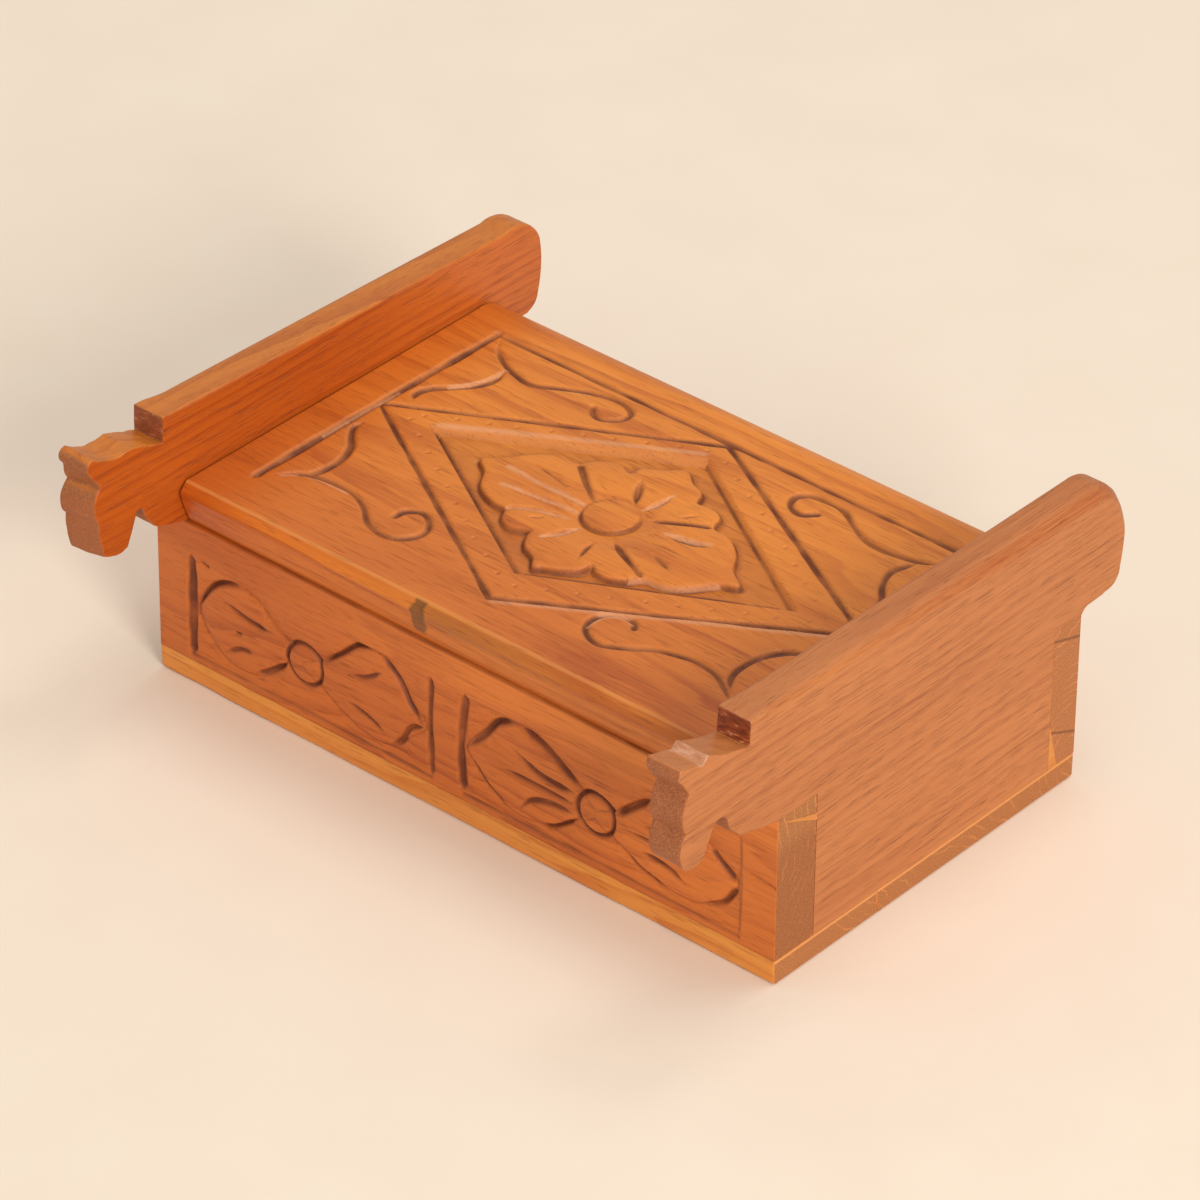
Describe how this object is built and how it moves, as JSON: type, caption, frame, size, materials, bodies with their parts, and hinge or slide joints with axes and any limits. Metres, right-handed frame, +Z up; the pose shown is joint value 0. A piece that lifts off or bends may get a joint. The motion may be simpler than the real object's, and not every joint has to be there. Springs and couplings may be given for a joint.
{
  "type": "carved wooden keepsake box",
  "caption": "Small hand-carved wooden box with animal-head end boards and a flower-carved lid that turns on hidden pegs between them, for papers and keepsakes.",
  "frame": {"origin": "middle of the base's underside, on the surface the box stands on", "axes": "+X along the box's length, to the right seen from the front; +Y towards the back, away from the carved heads; +Z up"},
  "size_m": [0.19, 0.161, 0.0775],
  "materials": {
    "base_wood": "oiled, worn edges",
    "panel_wood": "oiled satin",
    "end_wood": "oiled satin",
    "lid_wood": "oiled satin",
    "peg_wood": "bare wood",
    "wedge_wood": "oiled, paler than the boards"
  },
  "bodies": {
    "box": {"base_front_board": "base_wood", "base_rear_board": "base_wood", "front_panel": "panel_wood", "back_panel": "panel_wood", "left_end_board": "end_wood", "right_end_board": "end_wood", "left_pivot_peg": "peg_wood", "right_pivot_peg": "peg_wood", "front_wedge": "wedge_wood", "rear_wedge": "wedge_wood"},
    "lid": {"lid": "lid_wood"}
  },
  "joints": [
    {"name": "lid_hinge", "type": "hinge", "parent": "box", "child": "lid", "pos_m": [0, 0.0515, 0.0512], "axis": [-1, 0, 0], "range_deg": [0, 165]}
  ]
}
